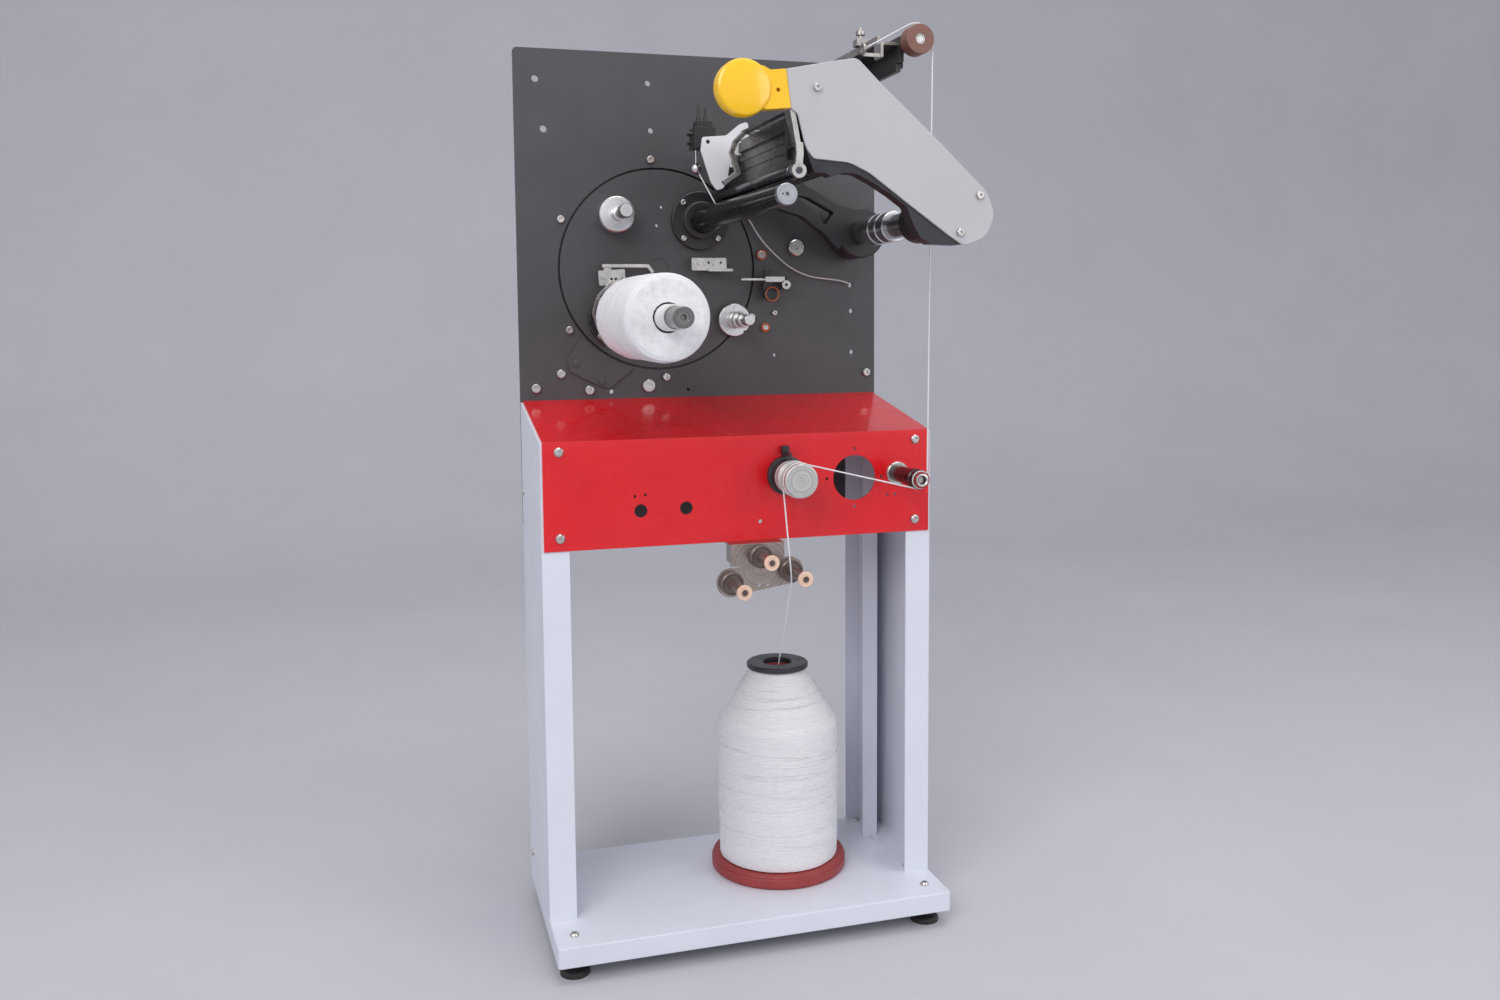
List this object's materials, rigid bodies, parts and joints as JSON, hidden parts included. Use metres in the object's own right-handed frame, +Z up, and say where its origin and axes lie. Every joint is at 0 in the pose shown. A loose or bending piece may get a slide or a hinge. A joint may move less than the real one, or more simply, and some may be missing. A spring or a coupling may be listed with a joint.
{
  "type": "yarn cone winder",
  "caption": "Free-standing turret winder that draws yarn from a floor bobbin over rollers and a tensioner and winds it onto cone tubes under a swing arm.",
  "frame": {"origin": "on the floor under the middle of the stand, between its four levelling feet", "axes": "+X to the right seen from the front, +Y to the back panel, +Z up"},
  "size_m": [0.707, 0.7153, 1.604],
  "materials": {
    "frame_paint": "satin",
    "panel_paint": "satin",
    "red_paint": "gloss",
    "screw_steel": "polished",
    "foot_black": "matte",
    "machined_alloy": "turned",
    "ring_steel": "ground",
    "gear_steel": "machined",
    "motor_black": "matte",
    "black_anodised": "matte",
    "dark_casting": "satin",
    "cover_grey": "satin",
    "cap_yellow": "gloss",
    "smoked_steel": "polished",
    "sheet_bright": "satin",
    "plate_white": "satin",
    "paper_tube": "matte",
    "yarn_white": "wound",
    "bobbin_red": "matte",
    "bobbin_black": "satin",
    "roller_brown": "matte",
    "feed_dark": "gloss",
    "clamp_alloy": "satin",
    "spool_ceramic": "gloss",
    "cable_grey": "satin"
  },
  "bodies": {
    "frame": {"foot_pads": "foot_black", "base_tray": "frame_paint", "side_frame_left": "frame_paint", "side_frame_right": "frame_paint", "rear_posts": "frame_paint", "frame_screws": "screw_steel", "back_panel": "panel_paint", "panel_screws": "screw_steel", "front_housing": "red_paint", "turret_ring": "ring_steel", "index_motor": "motor_black", "doff_plate": "panel_paint", "lever_block": "black_anodised", "sensor_cable": "cable_grey", "pivot_shaft": "screw_steel", "beam_plate": "black_anodised", "beam_rail": "machined_alloy", "roller_pins": "screw_steel", "tension_body": "black_anodised", "snubber_bracket": "clamp_alloy", "bobbin_base": "bobbin_red", "bobbin_yarn": "yarn_white", "bobbin_cap": "bobbin_black", "yarn_run": "yarn_white"},
    "turret": {"turret_disc": "panel_paint", "turret_gear": "gear_steel", "centre_plug": "panel_paint", "spindle_flanges": "black_anodised", "turret_screws": "screw_steel", "spindle_motors": "motor_black", "turret_bosses": "machined_alloy", "finger_brackets": "sheet_bright"},
    "pinion": {"index_pinion": "gear_steel"},
    "mandrel": {"winding_mandrel": "smoked_steel", "mandrel_cap": "machined_alloy"},
    "doff": {"doff_spindle": "smoked_steel"},
    "package": {"package_tube": "paper_tube", "package_yarn": "yarn_white"},
    "lever": {"yarn_lever": "machined_alloy"},
    "arm": {"arm_rear_casting": "dark_casting", "arm_tube": "machined_alloy", "arm_front_casting": "dark_casting", "arm_cover": "cover_grey", "arm_screws": "screw_steel", "arm_cap": "cap_yellow", "traverse_box": "black_anodised", "guide_plate": "plate_white", "guide_bracket": "sheet_bright", "end_bracket": "sheet_bright", "valve_block": "black_anodised", "ball_guide": "machined_alloy", "arm_yarn": "yarn_white"},
    "roller": {"contact_roller": "smoked_steel"},
    "traverse": {"traverse_guide": "sheet_bright"},
    "top_roller": {"top_roller": "roller_brown"},
    "feed_roller": {"feed_roller": "feed_dark"},
    "tension_wheel": {"tension_wheel": "machined_alloy"},
    "snubber_upper": {"snubber_roller_upper": "spool_ceramic"},
    "snubber_right": {"snubber_roller_right": "spool_ceramic"},
    "snubber_left": {"snubber_roller_left": "spool_ceramic"}
  },
  "joints": [
    {"name": "turret_index", "type": "hinge", "parent": "frame", "child": "turret", "pos_m": [-0.0874, 0, 1.1787], "axis": [0, 1, 0], "range_deg": [0, 120]},
    {"name": "pinion_spin", "type": "hinge", "parent": "frame", "child": "pinion", "pos_m": [0.0226, 0, 0.98817], "axis": [0, 1, 0], "range_deg": [-614, 0]},
    {"name": "mandrel_spin", "type": "hinge", "parent": "turret", "child": "mandrel", "pos_m": [-0.00705, 0, 1.26984], "axis": [0, 1, 0], "continuous": true},
    {"name": "doff_spin", "type": "hinge", "parent": "turret", "child": "doff", "pos_m": [-0.16775, 0, 1.08756], "axis": [0, 1, 0], "continuous": true},
    {"name": "package_doff", "type": "slide", "parent": "doff", "child": "package", "axis": [0, -1, 0], "range_m": [0, 0.4]},
    {"name": "arm_lift", "type": "hinge", "parent": "frame", "child": "arm", "pos_m": [0.295, 0, 1.247], "axis": [0, 1, 0], "range_deg": [0, 25]},
    {"name": "contact_roller_spin", "type": "hinge", "parent": "arm", "child": "roller", "pos_m": [0.02, 0, 1.308], "axis": [0, 1, 0], "continuous": true},
    {"name": "traverse_stroke", "type": "slide", "parent": "arm", "child": "traverse", "axis": [0, -1, 0], "range_m": [0, 0.255]},
    {"name": "lever_tilt", "type": "hinge", "parent": "frame", "child": "lever", "pos_m": [0.15, 0, 1.1485], "axis": [0, 1, 0], "range_deg": [0, 10]},
    {"name": "top_roller_spin", "type": "hinge", "parent": "frame", "child": "top_roller", "pos_m": [0.308, 0, 1.56], "axis": [0, 1, 0], "continuous": true},
    {"name": "feed_roller_spin", "type": "hinge", "parent": "frame", "child": "feed_roller", "pos_m": [0.2848, 0, 0.8077], "axis": [0, 1, 0], "continuous": true},
    {"name": "tension_wheel_spin", "type": "hinge", "parent": "frame", "child": "tension_wheel", "pos_m": [0.075, 0, 0.813], "axis": [0, 1, 0], "continuous": true},
    {"name": "snubber_upper_spin", "type": "hinge", "parent": "frame", "child": "snubber_upper", "pos_m": [0.0183, 0, 0.679], "axis": [0, 1, 0], "continuous": true},
    {"name": "snubber_right_spin", "type": "hinge", "parent": "frame", "child": "snubber_right", "pos_m": [0.0724, 0, 0.651], "axis": [0, 1, 0], "continuous": true},
    {"name": "snubber_left_spin", "type": "hinge", "parent": "frame", "child": "snubber_left", "pos_m": [-0.0338, 0, 0.6355], "axis": [0, 1, 0], "continuous": true}
  ],
  "couplings": [
    {"joint": "pinion_spin", "follows": "turret_index", "ratio": -5.1111}
  ]
}
